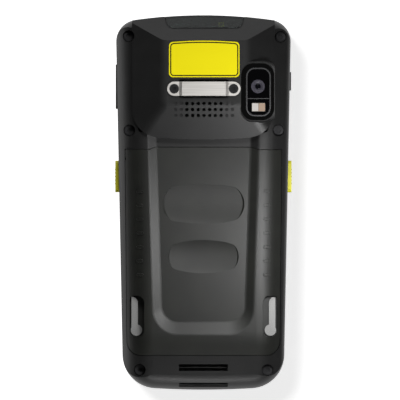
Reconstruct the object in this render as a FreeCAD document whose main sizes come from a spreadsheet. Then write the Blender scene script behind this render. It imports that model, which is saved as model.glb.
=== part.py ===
import FreeCAD, Part
import math
import os

import Sketcher
from FreeCAD import Rotation, Vector

# A hand-held barcode data terminal, lying on its front rim with its back facing up.
# The scanner end points to +Y and the thickness runs along +Z. All sizes are in millimetres.

SIZES = [
    # case outline
    ("top_half", 37.05, "half width at the top corners, before rounding"),
    ("top_side_y", 75.8, "height of the top corners"),
    ("bottom_half", 33.95, "half width at the bottom corners"),
    ("bottom_side_y", 77.55, "distance of the bottom corners below the middle"),
    ("top_crown", 200.0, "radius of the bowed top edge"),
    ("bottom_crown", 350.0, "radius of the bowed bottom edge"),
    ("top_corner", 9.2, "radius of the top corners"),
    ("bottom_corner", 14.4, "radius of the bottom corners"),
    # case section
    ("split_level", 6.8, "parting line between the two halves"),
    ("back_level", 21.0, "crest of the back, above the front rim"),
    ("end_round", 7.2, "rounding between the back and the two ends"),
    ("facet_width", 8.2, "width of the long side facets"),
    ("facet_drop", 5.1, "fall of the side facets over that width"),
    ("crest_round", 14.0, "rounding between back and side facets"),
    ("edge_round", 3.5, "rounding between side facets and side walls"),
    ("front_edge", 2.0, "rounding of the front rim"),
    ("slope_start", 58.0, "where the lower back starts to fall, below the middle"),
    ("slope_reach", 22.0, "length of the falling part"),
    ("slope_drop", 3.6, "fall over that length"),
    ("crease", 40.0, "rounding where the fall starts"),
    ("wall", 2.2, "case wall"),
    ("floor_low", 9.2, "underside of the inner floor"),
    ("floor_high", 10.4, "top of the inner floor"),
    # grip trough in the back
    ("trough_top_half", 23.6, "half width of the trough under the scanner cover"),
    ("trough_bottom_half", 20.9, "half width of the trough at its lower end"),
    ("trough_top_y", 33.0, "upper end of the trough, hidden"),
    ("trough_bottom_y", 55.8, "lower end of the trough, below the middle"),
    ("trough_corner", 10.6, "corner radius of the trough"),
    ("trough_depth", 1.25, "depth of the trough"),
    ("trough_run", 3.35, "width of its leaning side walls"),
    ("trough_end_run", 5.3, "width of its leaning lower wall"),
    ("trough_floor_corner", 7.2, "corner radius of its floor"),
    ("trough_soft", 3.0, "rounding of the trough edges"),
    # scanner cover
    ("cover_half", 30.1, "half width of the scanner cover"),
    ("cover_low_y", 28.4, "lower edge of the scanner cover"),
    ("cover_corner", 12.0, "radius of its lower corners"),
    ("cover_bow", 260.0, "bow of its lower edge"),
    ("plateau_level", 27.0, "flat top of the scanner cover"),
    ("plateau_left", 17.2, "left edge of the flat top"),
    ("plateau_right", 18.4, "right edge of the flat top"),
    ("plateau_low_y", 41.0, "lower edge of the flat top"),
    ("plateau_high_y", 68.4, "upper edge of the flat top"),
    ("side_fall", 0.46, "fall of the side facets"),
    ("nose_fall", 0.80, "fall of the facet towards the scanner end"),
    ("low_fall", 0.33, "fall of the lower facet"),
    ("facet_soft", 9.0, "rounding between flat top and side facets"),
    ("cover_wall", 2.0, "wall of the scanner cover"),
    ("notch_y", 66.0, "where the cover takes over the whole end"),
    # battery lid and hinge
    ("lid_top_half", 33.0, "half width of the lid at the hinge"),
    ("lid_bottom_half", 32.2, "half width of the lid at its lower edge"),
    ("lid_low_y", 64.5, "lower edge of the lid, below the middle"),
    ("lid_corner", 6.0, "corner radius of the lid"),
    ("lid_wall", 1.6, "wall of the lid"),
    ("lid_gap", 0.22, "gap round the lid"),
    ("hinge_y", 18.45, "hinge axis of the lid"),
    ("hinge_level", 16.4, "hinge axis above the front rim"),
    ("hinge_barrel", 5.85, "radius of the lid's rounded upper end"),
    ("barrel_run", 26.0, "the rounded end keeps that radius up to here"),
    ("barrel_side", 3.95, "its radius at the lid's side edges"),
    ("pin_radius", 0.7, "hinge pin"),
    ("lug_radius", 1.3, "hinge lugs"),
    ("lug_inner", 24.3, "inner hinge lug starts here"),
    ("lug_width", 1.0, "width of a hinge lug"),
    ("knuckle_start", 25.5, "the lid's knuckle starts here"),
    ("knuckle_width", 1.3, "width of the knuckle"),
    ("lug_outer", 27.0, "outer hinge lug starts here"),
    # battery bay
    ("bay_half", 23.4, "half width of the battery bay"),
    ("bay_low_y", 57.5, "lower end of the bay, below the middle"),
    ("bay_high_y", 19.2, "upper end of the bay, under the hinge"),
    ("rib_face", 27.7, "outer face of the walls beside the bay"),
    ("battery_half", 22.6, "half width of the battery"),
    ("battery_low_y", 55.5, "lower end of the battery, below the middle"),
    ("battery_high_y", 10.5, "upper end of the battery"),
    ("battery_top", 15.9, "top of the battery"),
    # latches
    ("latch_x", 28.3, "latch pivot from the middle"),
    ("latch_y", 53.9, "latch pivot below the middle"),
    ("latch_low", 15.7, "underside of a latch"),
    ("latch_high", 17.0, "top of a latch"),
    ("latch_head", 2.4, "radius of the latch head"),
    ("latch_stem", 2.7, "width of the latch stem"),
    ("latch_tip", 14.0, "length from pivot to tip"),
    ("well_floor", 15.5, "floor of the latch recess"),
    # finger scoops
    ("scoop_depth", 0.9, "depth of the finger scoops"),
    ("scoop_ends", 58.0, "lean of the scoops' ends, in degrees"),
    # screws
    ("screw_well", 2.45, "radius of the screw wells"),
    ("screw_hole", 1.15, "radius of the screw holes"),
    ("boss", 2.9, "radius of the screw bosses"),
    # front
    ("glass_half", 32.0, "half width of the touch glass"),
    ("glass_high_y", 70.0, "upper edge of the touch glass"),
    ("glass_low_y", 58.0, "lower edge of the touch glass, below the middle"),
    ("glass_corner", 5.0, "corner radius of the touch glass"),
    ("glass_low", 0.4, "front of the glass behind the rim"),
    ("glass_high", 1.5, "back of the glass"),
    ("front_wall", 2.6, "inner face of the front wall"),
    # side keys
    ("key_low", 7.3, "lower face of the side keys"),
    ("key_high", 10.3, "upper face of the side keys"),
    ("key_play", 0.15, "gap round a key"),
    ("room_top", 11.6, "ceiling of the rooms behind the keys"),
    ("scan_key_low_y", 4.3, "lower end of the scan keys"),
    ("scan_key_high_y", 17.7, "upper end of the scan keys"),
    ("scan_key_out", 37.3, "outer face of the scan keys"),
]

doc = FreeCAD.newDocument("DataTerminal")
sheet = doc.addObject("Spreadsheet::Sheet", "Sizes")


class Size:
    # A length with its value and the text of the expression that gives it.
    def __init__(self, value, text):
        self.value = float(value)
        self.text = text

    def join(self, other, sign, result):
        return Size(result, "(%s %s %s)" % (self.text, sign, other.text))

    def __add__(self, other):
        other = as_size(other)
        return self.join(other, "+", self.value + other.value)

    def __radd__(self, other):
        return as_size(other) + self

    def __sub__(self, other):
        other = as_size(other)
        return self.join(other, "-", self.value - other.value)

    def __rsub__(self, other):
        return as_size(other) - self

    def __mul__(self, other):
        other = as_size(other)
        return self.join(other, "*", self.value * other.value)

    def __rmul__(self, other):
        return as_size(other) * self

    def __truediv__(self, other):
        other = as_size(other)
        return self.join(other, "/", self.value / other.value)

    def __neg__(self):
        return Size(-self.value, "(0 - %s)" % self.text)


def as_size(number):
    return number if isinstance(number, Size) else Size(number, "(%.6g)" % number)


class Dimensions:
    pass


dim = Dimensions()
for row, (alias, number, note) in enumerate(SIZES, start=1):
    sheet.set("A%d" % row, note)
    sheet.set("B%d" % row, str(number))
    sheet.setAlias("B%d" % row, alias)
    setattr(dim, alias, Size(number, "Sizes." + alias))
doc.recompute()


def bind(thing, path, amount):
    thing.setExpression(path, as_size(amount).text)


# Sketches: loops of lines and arcs whose corners are pinned to the sheet

PLANE_NORMAL_SIGN = {"XY_Plane": 1, "XZ_Plane": -1, "YZ_Plane": 1}


def sketch_on(body, role, level):
    sketch = body.newObject("Sketcher::SketchObject", body.Name + "_sketch")
    plane = [item for item in body.Origin.OriginFeatures if item.Role == role][0]
    sketch.AttachmentSupport = [(plane, "")]
    sketch.MapMode = "FlatFace"
    height = level if PLANE_NORMAL_SIGN[role] > 0 else -as_size(level)
    bind(sketch, "AttachmentOffset.Base.z", height)
    return sketch


def pin_point(sketch, geometry, position, x, y):
    for kind, amount in (("DistanceX", as_size(x)), ("DistanceY", as_size(y))):
        rule = Sketcher.Constraint(kind, -1, 1, geometry, position, amount.value)
        place = sketch.addConstraint(rule)
        bind(sketch, "Constraints[%d]" % place, amount)


def set_radius(sketch, geometry, radius):
    place = sketch.addConstraint(Sketcher.Constraint("Radius", geometry, as_size(radius).value))
    bind(sketch, "Constraints[%d]" % place, radius)


def draw_circle(sketch, x, y, radius):
    circle = Part.Circle(Vector(as_size(x).value, as_size(y).value, 0), Vector(0, 0, 1), as_size(radius).value)
    geometry = sketch.addGeometry(circle, False)
    pin_point(sketch, geometry, 3, x, y)
    set_radius(sketch, geometry, radius)


def arc_between(start, end, centre):
    # The arc runs anticlockwise; the flag says that start and end had to change places.
    radius = (start - centre).Length
    first = math.atan2(start.y - centre.y, start.x - centre.x)
    last = math.atan2(end.y - centre.y, end.x - centre.x)
    swapped = (last - first) % (2 * math.pi) > math.pi
    if swapped:
        first, last = last, first
    circle = Part.Circle(centre, Vector(0, 0, 1), radius)
    return Part.ArcOfCircle(circle, first, first + (last - first) % (2 * math.pi)), swapped


def draw_loop(sketch, corners):
    # A corner is (x, y), with {"round": r} to round it or {"bow": r} to bow the edge that follows it.
    count = len(corners)
    points = [Vector(as_size(c[0]).value, as_size(c[1]).value, 0) for c in corners]
    extras = [c[2] if len(c) > 2 else {} for c in corners]
    starts, ends, arcs = list(points), list(points), {}
    for i, extra in enumerate(extras):
        if "round" not in extra:
            continue
        radius = as_size(extra["round"]).value
        back = (points[i - 1] - points[i]).normalize()
        ahead = (points[(i + 1) % count] - points[i]).normalize()
        half = back.getAngle(ahead) / 2
        reach = radius / math.tan(half)
        ends[i] = points[i] + back * reach
        starts[i] = points[i] + ahead * reach
        arcs[i] = points[i] + (back + ahead).normalize() * (radius / math.sin(half))
    edges = []
    for i in range(count):
        start, end = starts[i], ends[(i + 1) % count]
        if "bow" in extras[i]:
            radius = as_size(extras[i]["bow"]).value
            middle = (start + end) * 0.5
            along = (end - start).normalize()
            inward = Vector(-along.y, along.x, 0)
            drop = math.sqrt(radius ** 2 - ((end - start).Length / 2) ** 2)
            arc, swapped = arc_between(start, end, middle + inward * drop)
            geometry = sketch.addGeometry(arc, False)
            set_radius(sketch, geometry, extras[i]["bow"])
            edges.append((geometry, 2, 1) if swapped else (geometry, 1, 2))
        else:
            edges.append((sketch.addGeometry(Part.LineSegment(start, end), False), 1, 2))
    for i in range(count):
        before, after = edges[i - 1], edges[i]
        x, y = corners[i][0], corners[i][1]
        if i in arcs:
            arc, swapped = arc_between(ends[i], starts[i], arcs[i])
            geometry = sketch.addGeometry(arc, False)
            first, last = (2, 1) if swapped else (1, 2)
            sketch.addConstraint(Sketcher.Constraint("Tangent", before[0], before[2], geometry, first))
            sketch.addConstraint(Sketcher.Constraint("Tangent", geometry, last, after[0], after[1]))
            set_radius(sketch, geometry, extras[i]["round"])
            mark = sketch.addGeometry(Part.Point(points[i]), True)
            sketch.addConstraint(Sketcher.Constraint("PointOnObject", mark, 1, before[0]))
            sketch.addConstraint(Sketcher.Constraint("PointOnObject", mark, 1, after[0]))
            pin_point(sketch, mark, 1, x, y)
        else:
            sketch.addConstraint(Sketcher.Constraint("Coincident", before[0], before[2], after[0], after[1]))
            pin_point(sketch, after[0], after[1], x, y)


def rectangle(x, y, corner=None):
    # Four corners from the spans x = (low, high) and y = (low, high).
    places = [(x[0], y[0]), (x[1], y[0]), (x[1], y[1]), (x[0], y[1])]
    return [place + (({"round": corner},) if corner else ()) for place in places]


# Solids

def prism(name, role, span, *loops, taper=None):
    # Pads the loops along the plane's normal over span = (low, high). A loop of three sizes is a circle.
    body = doc.addObject("PartDesign::Body", name)
    low, high = as_size(span[0]), as_size(span[1])
    sketch = sketch_on(body, role, low if PLANE_NORMAL_SIGN[role] > 0 else high)
    for loop in loops:
        if isinstance(loop, tuple):
            draw_circle(sketch, *loop)
        else:
            draw_loop(sketch, loop)
    pad = body.newObject("PartDesign::Pad", name + "_pad")
    pad.Profile = sketch
    bind(pad, "Length", high - low)
    if taper is not None:
        bind(pad, "TaperAngle", taper)
    sketch.Visibility = False
    return body


def plate(name, x, y, z, corner=None):
    return prism(name, "XY_Plane", z, rectangle(x, y, corner))


def block(name, x, y, z):
    solid = doc.addObject("Part::Box", name)
    for side, place, span in (("Length", "x", x), ("Width", "y", y), ("Height", "z", z)):
        low, high = as_size(span[0]), as_size(span[1])
        bind(solid, side, high - low)
        bind(solid, "Placement.Base." + place, low)
    return solid


AXIS_TURN = {
    "x": Rotation(Vector(0, 1, 0), 90),
    "y": Rotation(Vector(1, 0, 0), -90),
    "z": Rotation(),
}


def drum(name, axis, centre, span, radius, top_radius=None):
    # A cylinder along an axis, or a cone when the far end has its own radius. centre skips that axis.
    kind = "Part::Cylinder" if top_radius is None else "Part::Cone"
    solid = doc.addObject(kind, name)
    solid.Placement.Rotation = AXIS_TURN[axis]
    if top_radius is None:
        bind(solid, "Radius", radius)
    else:
        bind(solid, "Radius1", radius)
        bind(solid, "Radius2", top_radius)
    low, high = as_size(span[0]), as_size(span[1])
    bind(solid, "Height", high - low)
    others = [letter for letter in "xyz" if letter != axis]
    bind(solid, "Placement.Base." + axis, low)
    for letter, amount in zip(others, centre):
        bind(solid, "Placement.Base." + letter, amount)
    return solid


def group(kind, name, parts):
    result = doc.addObject(kind, name)
    result.Shapes = list(parts)
    return result


def fuse(name, *parts):
    return group("Part::MultiFuse", name, parts)


def common(name, *parts):
    return group("Part::MultiCommon", name, parts)


def cut(name, base, *tools):
    result = doc.addObject("Part::Cut", name)
    result.Base = base
    result.Tool = tools[0] if len(tools) == 1 else fuse(name + "_tools", *tools)
    return result


def together(name, *parts):
    # Several separate solids that share one node.
    result = doc.addObject("Part::Compound", name)
    result.Links = list(parts)
    return result


def mirrored(name, source):
    result = doc.addObject("Part::Mirroring", name)
    result.Source = source
    result.Normal = Vector(1, 0, 0)
    result.Base = Vector(0, 0, 0)
    return result


def round_edges(body, radius, wanted):
    # Adds a fillet to a body on the edges for which wanted(edge) is true.
    doc.recompute()
    tip = body.Tip
    names = ["Edge%d" % (i + 1) for i, edge in enumerate(tip.Shape.Edges) if wanted(edge)]
    if not names:
        raise RuntimeError("no edge to round on " + body.Name)
    fillet = body.newObject("PartDesign::Fillet", body.Name + "_fillet")
    fillet.Base = (tip, names)
    bind(fillet, "Radius", radius)
    doc.recompute()
    return fillet


def middle_of(edge):
    return edge.valueAt((edge.FirstParameter + edge.LastParameter) / 2)


def is_upright(edge):
    ends = [vertex.Point for vertex in edge.Vertexes]
    return len(ends) == 2 and abs(ends[0].x - ends[1].x) < 1e-6 and abs(ends[0].y - ends[1].y) < 1e-6


def near(number, target, slack=0.05):
    return abs(number - as_size(target).value) < slack


# The case outline, shared by both halves, their cavities and the seal

def case_outline(inset):
    top, bottom = dim.top_half - inset, dim.bottom_half - inset
    high, low = dim.top_side_y - inset, -(dim.bottom_side_y - inset)
    return [
        (-bottom, low, {"bow": dim.bottom_crown - inset}),
        (bottom, low),
        (top, high, {"bow": dim.top_crown - inset}),
        (-top, high),
    ]


def case_block(name, inset, z):
    body = prism(name, "XY_Plane", z, case_outline(inset))
    round_edges(body, dim.top_corner - inset, lambda e: is_upright(e) and middle_of(e).y > 0)
    round_edges(body, dim.bottom_corner - inset, lambda e: is_upright(e) and middle_of(e).y < 0)
    return body


def add_pocket(body, sketch, length, taper=None, midplane=False):
    doc.recompute()
    before = body.Tip.Shape.Volume
    pocket = body.newObject("PartDesign::Pocket", body.Name + "_pocket")
    pocket.Profile = sketch
    pocket.Midplane = midplane
    bind(pocket, "Length", length)
    if taper is not None:
        bind(pocket, "TaperAngle", taper)
    doc.recompute()
    if before - pocket.Shape.Volume < 1:
        raise RuntimeError("a pocket of " + body.Name + " cuts nothing")
    return pocket


def side_form(name, inset):
    # Gives the long sides their facets. Moving a facet inwards by inset shortens it by less than that.
    lean = math.atan2(dim.facet_drop.value, dim.facet_width.value)
    width = dim.facet_width - inset * (1 - math.tan(lean / 2))
    drop = dim.facet_drop - inset * (1 - math.tan(math.pi / 4 - lean / 2))
    crest = dim.back_level - inset
    body = prism(name, "XY_Plane", (dim.split_level, crest), case_outline(inset))
    add_slope(body, crest)
    base = body.Tip
    facet = body.newObject("PartDesign::Chamfer", name + "_facet")
    facet.Base = (base, [
        "Edge%d" % (i + 1) for i, edge in enumerate(base.Shape.Edges) if runs_along_side(edge, crest)
    ])
    facet.ChamferType = "Two distances"
    bind(facet, "Size", drop)
    bind(facet, "Size2", width)
    round_edges(body, dim.crest_round - inset, lambda e: runs_along_side(e, crest))
    round_edges(body, dim.edge_round - inset, lambda e: runs_along_side(e, crest - drop))
    return body


def runs_along_side(edge, level):
    return edge.BoundBox.YLength > 100 and near(edge.BoundBox.ZLength, 0, 0.01) and near(middle_of(edge).z, level)


def add_slope(body, crest):
    # The lower back falls away towards the end.
    start = -dim.slope_start
    slope = sketch_on(body, "YZ_Plane", 0)
    draw_loop(slope, [
        (start, crest),
        (start - dim.slope_reach, crest - dim.slope_drop),
        (start - dim.slope_reach, crest + 5),
        (start, crest + 5),
    ])
    add_pocket(body, slope, dim.top_half * 3, midplane=True)
    round_edges(body, dim.crease, lambda e: near(middle_of(e).y, start) and near(middle_of(e).z, crest))


def trough_loop(spread, run, end_run, corner):
    # The outline of the trough, set in by run at its sides and by end_run at its lower end.
    top, bottom = dim.trough_top_half + spread - run, dim.trough_bottom_half + spread - run
    low = -(dim.trough_bottom_y + spread - end_run)
    return [
        (-bottom, low, {"round": corner}),
        (bottom, low, {"round": corner}),
        (top, dim.trough_top_y - run),
        (-top, dim.trough_top_y - run),
    ]


def back_solid(name, inset, soft_trough=True):
    # The whole back as one solid, its skin moved inwards by inset, from the parting line up.
    crest = dim.back_level - inset
    body = case_block(name, inset, (dim.split_level, crest))
    add_slope(body, crest)
    half = (dim.top_half - inset).value
    round_edges(
        body, dim.end_round - inset,
        lambda e: near(middle_of(e).z, crest) and abs(middle_of(e).x) > half - 4 and abs(middle_of(e).y) < 40,
    )
    # the walls lean, so moving the skin inwards also widens the trough by a sixth of the inset
    spread = inset * 0.17
    brim = sketch_on(body, "XY_Plane", crest)
    draw_loop(brim, trough_loop(spread, 0, 0, dim.trough_corner))
    floor = sketch_on(body, "XY_Plane", crest - dim.trough_depth)
    draw_loop(floor, trough_loop(spread, dim.trough_run, dim.trough_end_run, dim.trough_floor_corner))
    trough = body.newObject("PartDesign::SubtractiveLoft", name + "_trough")
    trough.Profile = brim
    trough.Sections = [floor]
    trough.Ruled = True
    if soft_trough:
        bed = crest.value - dim.trough_depth.value
        for level in (crest.value, bed):
            round_edges(body, dim.trough_soft, lambda e: (
                near(middle_of(e).z, level) and near(e.BoundBox.ZLength, 0, 0.01)
                and 15 < abs(middle_of(e).x) < 24 and abs(middle_of(e).y) < 30
            ))
    return common(name + "_faceted", body, side_form(name + "_sides", inset))


# The scanner cover: a prism with a flat top and four facets falling away from it

def borders_lower_facets(edge, top, high_y, low_y):
    middle = middle_of(edge)
    on_top = near(middle.z, top) and middle.y < high_y - 1
    mitre = edge.BoundBox.ZLength > 1 and edge.BoundBox.XLength > 2 and middle.y < low_y and abs(middle.x) > 17
    return on_top or (mitre and isinstance(edge.Curve, Part.Line))


def cover_solid(name, inset, low, soft=False):
    half = dim.cover_half - inset
    body = prism(name, "XY_Plane", (low, dim.plateau_level - inset), [
        (-half, dim.cover_low_y + inset, {"bow": dim.cover_bow}),
        (half, dim.cover_low_y + inset),
        (half, dim.top_side_y + 1.1 - inset, {"bow": dim.top_crown - inset}),
        (-half, dim.top_side_y + 1.1 - inset),
    ])
    round_edges(body, dim.cover_corner - inset, lambda e: is_upright(e) and middle_of(e).y < 40)
    top = dim.plateau_level - inset
    rise = dim.plateau_level + 4
    # moving a leaning facet inwards shifts its edge sideways by a little less than the inset
    side_shift = inset * 0.22
    nose_shift = inset * 0.35
    low_shift = inset * 0.16
    reach = 20
    sides = sketch_on(body, "XZ_Plane", 0)
    for sign, edge in ((-1, dim.plateau_left - side_shift), (1, dim.plateau_right - side_shift)):
        inner, outer = edge * sign, (edge + reach) * sign
        loop = [(inner, top), (inner, rise), (outer, rise), (outer, top - dim.side_fall * reach)]
        draw_loop(sides, loop if sign < 0 else loop[::-1])
    add_pocket(body, sides, dim.top_side_y * 3, midplane=True)
    ends = sketch_on(body, "YZ_Plane", 0)
    high, lower = dim.plateau_high_y - nose_shift, dim.plateau_low_y + low_shift
    draw_loop(ends, [(high, rise), (high, top), (high + reach, top - dim.nose_fall * reach), (high + reach, rise)])
    draw_loop(ends, [(lower, top), (lower, rise), (lower - reach, rise), (lower - reach, top - dim.low_fall * reach)])
    add_pocket(body, ends, dim.top_half * 3, midplane=True)
    if soft:
        # the sides and the lower facet run into each other; the ridge towards the scanner end stays crisp
        round_edges(body, dim.facet_soft, lambda e: borders_lower_facets(e, top.value, high.value, lower.value))
    return common(name + "_in_case", body, case_block(name + "_limit", inset, (low, rise)))


shown = []


def node(name, solid):
    solid.Label = name
    shown.append(solid)
    return solid


# Rear housing

screw_places = [
    (as_size(-31.6), as_size(70.3), as_size(15.0)),
    (as_size(32.6), as_size(70.0), as_size(15.0)),
    (as_size(-31.3), as_size(30.5), as_size(15.0)),
    (as_size(31.7), as_size(30.5), as_size(15.0)),
    (as_size(-26.9), as_size(-70.7), as_size(14.2)),
    (as_size(27.1), as_size(-70.8), as_size(14.2)),
]

back = back_solid("back_outer", as_size(0))
end_notch = block(
    "end_notch", (-(dim.cover_half + 0.05), dim.cover_half + 0.05),
    (dim.notch_y, dim.notch_y + 20), (dim.floor_high, dim.back_level + 5),
)
back_core = cut("back_core", back, end_notch)


def hinge_barrel(name, grow, half):
    # The lid's rounded end about the hinge axis: straight in the middle, tapering towards its sides.
    axis, wide, slim = (dim.hinge_y, dim.hinge_level), dim.hinge_barrel + grow, dim.barrel_side + grow
    taper = drum(name + "_taper", "x", axis, (dim.barrel_run, half), wide, slim)
    return fuse(
        name, drum(name + "_run", "x", axis, (-dim.barrel_run, dim.barrel_run), wide),
        taper, mirrored(name + "_taper_left", taper),
    )


def lid_zone(name, grow, low):
    # The plan of the lid, with its rounded upper end about the hinge axis.
    half_top, half_low = dim.lid_top_half + grow, dim.lid_bottom_half + grow
    plan = prism(name + "_plan", "XY_Plane", (low, dim.back_level + 3), [
        (-half_low, -(dim.lid_low_y + grow), {"round": dim.lid_corner}),
        (half_low, -(dim.lid_low_y + grow), {"round": dim.lid_corner}),
        (half_top, dim.hinge_y),
        (-half_top, dim.hinge_y),
    ])
    return plan, hinge_barrel(name + "_barrel", grow, half_top)


seat_plan, seat_barrel = lid_zone("seat", dim.lid_gap, dim.floor_high)
seat_skin = back_solid("seat_skin", dim.lid_wall + 0.15, soft_trough=False)
seat_cut = cut("seat_cut", seat_plan, seat_skin)

inner_room = case_block("rear_room", dim.wall, (dim.split_level - 1, dim.floor_low))
bay = plate("bay", (-dim.bay_half, dim.bay_half), (-dim.bay_low_y, dim.bay_high_y),
            (dim.floor_high, dim.back_level + 3), as_size(1.5))
cover_room_half = dim.cover_half - 2.6
cover_room = plate("cover_room", (-cover_room_half, cover_room_half), (dim.cover_low_y + 1.2, dim.notch_y + 0.5),
                   (dim.floor_high, dim.back_level + 3), as_size(1.5))
gallery_x = (dim.rib_face, dim.bottom_half - dim.wall + 0.6)
gallery_right = block("gallery_right", gallery_x, (as_size(-38), as_size(9.0)), (dim.floor_low - 1, dim.room_top))
gallery_left = mirrored("gallery_left", gallery_right)
key_room_right = block("key_room_right", (dim.rib_face, dim.top_half - dim.wall - 1.3),
                       (as_size(2.0), as_size(64.0)), (dim.floor_low - 3, dim.room_top))
key_room_left = mirrored("key_room_left", key_room_right)
well_room_right = block(
    "well_room_right", (dim.latch_x - 5.4, dim.latch_x + 4.0),
    (-(dim.latch_y + 5.9), -(dim.latch_y - 15.8)), (dim.well_floor - 1.7, dim.back_level + 3),
)
well_room_left = mirrored("well_room_left", well_room_right)


def wells(name, low, radius):
    return [
        drum("%s_%d" % (name, i), "z", place[:2], (low if low is not None else place[2], dim.back_level + 3), radius)
        for i, place in enumerate(screw_places)
    ]


boss_columns = [
    drum("rear_boss_%d" % i, "z", place[:2], (dim.split_level, place[2]), dim.boss)
    for i, place in enumerate(screw_places)
]
boss_fill = common("boss_fill", back_core, fuse("rear_bosses", *boss_columns))

# side keys: name, side sign, ends along Y, outer face
side_keys = [
    ("scan_key_right", 1, dim.scan_key_low_y, dim.scan_key_high_y, dim.scan_key_out),
    ("scan_key_left", -1, dim.scan_key_low_y, dim.scan_key_high_y, dim.scan_key_out),
    ("power_key", 1, as_size(47.4), as_size(55.2), as_size(37.1)),
    ("volume_rocker", -1, as_size(39.6), as_size(58.4), as_size(37.1)),
]


def across(sign, near_x, far_x):
    # A span along X on the side given by sign.
    return (near_x, far_x) if sign > 0 else (-far_x, -near_x)


key_slots = [
    prism(name + "_slot", "YZ_Plane", across(sign, as_size(30), as_size(40)),
          rectangle((low - dim.key_play, high + dim.key_play),
                    (dim.key_low - dim.key_play, dim.key_high + dim.key_play), as_size(1.4)))
    for name, sign, low, high, out in side_keys
]

# the volume rocker turns on a post that stands out from the wall beside the bay
rocker_axis = (as_size(-32.2), as_size(49.0))
rocker_pivot = as_size(0.7)
rocker_post = block("rocker_post", (rocker_axis[0] + rocker_pivot, -dim.rib_face), (as_size(48.2), as_size(49.8)),
                    (dim.key_low, dim.room_top))

# strap slots: one in the back, one in the end, joined by a tunnel under a bar
slot_half = as_size(10.3)
slot_level = as_size(11.4)
strap_slot_upper = block("strap_slot_upper", (-slot_half, slot_half), (as_size(-71.1), as_size(-68.3)),
                         (slot_level, dim.back_level))
strap_slot_lower = block("strap_slot_lower", (-slot_half, slot_half), (as_size(-77.9), as_size(-76.2)),
                         (slot_level, dim.back_level))
strap_tunnel = block("strap_tunnel", (-slot_half, slot_half), (as_size(-77.9), as_size(-68.3)),
                     (slot_level, slot_level + 2.0))

rear_parts = [
    inner_room, bay, cover_room, seat_cut, seat_barrel, gallery_right, gallery_left,
    key_room_right, key_room_left, well_room_right, well_room_left,
]
rear_hollow = cut("rear_hollow", back_core, *rear_parts)
lugs = []
for sign, side in ((1, "right"), (-1, "left")):
    for place, start in (("inner", dim.lug_inner), ("outer", dim.lug_outer)):
        span = across(sign, start, start + dim.lug_width)
        lugs.append(drum("lug_%s_%s" % (place, side), "x", (dim.hinge_y, dim.hinge_level), span, dim.lug_radius))
        lugs.append(block("arm_%s_%s" % (place, side), span, (dim.hinge_y - 7.6, dim.hinge_y),
                          (dim.hinge_level - 2.4, dim.hinge_level + 0.9)))
hinge_pin_right = drum("hinge_pin_right", "x", (dim.hinge_y, dim.hinge_level),
                       (dim.lug_inner, dim.lug_outer + dim.lug_width), dim.pin_radius)
hinge_pin_left = mirrored("hinge_pin_left", hinge_pin_right)
rear_solid = fuse("rear_solid", rear_hollow, boss_fill, rocker_post, *lugs)
rear_cuts = (
    wells("screw_well", None, dim.screw_well) + wells("screw_hole", as_size(0), dim.screw_hole) + key_slots
    + [strap_slot_upper, strap_slot_lower, strap_tunnel, hinge_pin_right, hinge_pin_left]
)
node("rear_housing", cut("rear_housing", rear_solid, *rear_cuts))
node("hinge_pins", together("hinge_pins", hinge_pin_right, hinge_pin_left))

# Scanner cover

boss_x, boss_y = (as_size(15.7), as_size(30.0)), (as_size(34.3), as_size(59.4))
camera_top = dim.plateau_level - 0.2
boss_low = dim.back_level - 4
boss_draft = 12
boss_flare = (camera_top - boss_low) * math.tan(math.radians(boss_draft))
camera_boss = prism(
    "camera_boss", "XY_Plane", (boss_low, camera_top),
    rectangle((boss_x[0] - boss_flare, boss_x[1] + boss_flare), (boss_y[0] - boss_flare, boss_y[1] + boss_flare),
              boss_flare + 5.2),
    taper=-boss_draft,
)
cover_outer = fuse(
    "cover_outer", cover_solid("cover_block", as_size(0), dim.floor_high, soft=True),
    common("camera_boss_kept", camera_boss, block(
        "boss_limit", (as_size(0), dim.cover_half), (as_size(25), as_size(65)), (boss_low, dim.plateau_level))),
)
cover_hollow = cover_solid("cover_hollow", dim.cover_wall, dim.floor_high)
boss_hollow = plate("boss_hollow", (boss_x[0] + 1.6, boss_x[1] - 1.6), (boss_y[0] + 1.6, boss_y[1] - 1.6),
                    (boss_low, camera_top - 1.6), as_size(3.6))
window_left, window_right = as_size(-17.4), as_size(18.0)
window_low_y = as_size(73.2)


def window_zone(name, shrink, low):
    return prism(name, "XY_Plane", (low, dim.plateau_level + 2), [
        (window_left + 2.2 + shrink, window_low_y + shrink, {"round": as_size(3.2)}),
        (window_right - 1.6 - shrink, window_low_y + shrink, {"round": as_size(3.2)}),
        (window_right - shrink, as_size(81)),
        (window_left + shrink, as_size(81)),
    ])


window_cut = window_zone("window_cut", as_size(0), as_size(12.0))
strap_recess = plate("strap_recess", (as_size(-10.6), as_size(11.0)), (as_size(44.1), as_size(51.9)),
                     (dim.plateau_level - 2.4, dim.plateau_level + 2), as_size(1.4))
strap_pad = common("strap_pad", cover_outer, block(
    "strap_pad_block", (as_size(-16), as_size(15.6)), (as_size(43), as_size(53)),
    (dim.plateau_level - 4.0, dim.plateau_level)))
duct = common("speaker_duct", cover_outer, cut(
    "duct_frame",
    block("duct_outer", (as_size(-14), as_size(14.6)), (as_size(34.6), as_size(44.2)), (as_size(22.7), as_size(27))),
    block("duct_inner", (as_size(-13), as_size(13.6)), (as_size(35.5), as_size(43.2)), (as_size(22.6), as_size(28))),
))
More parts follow.
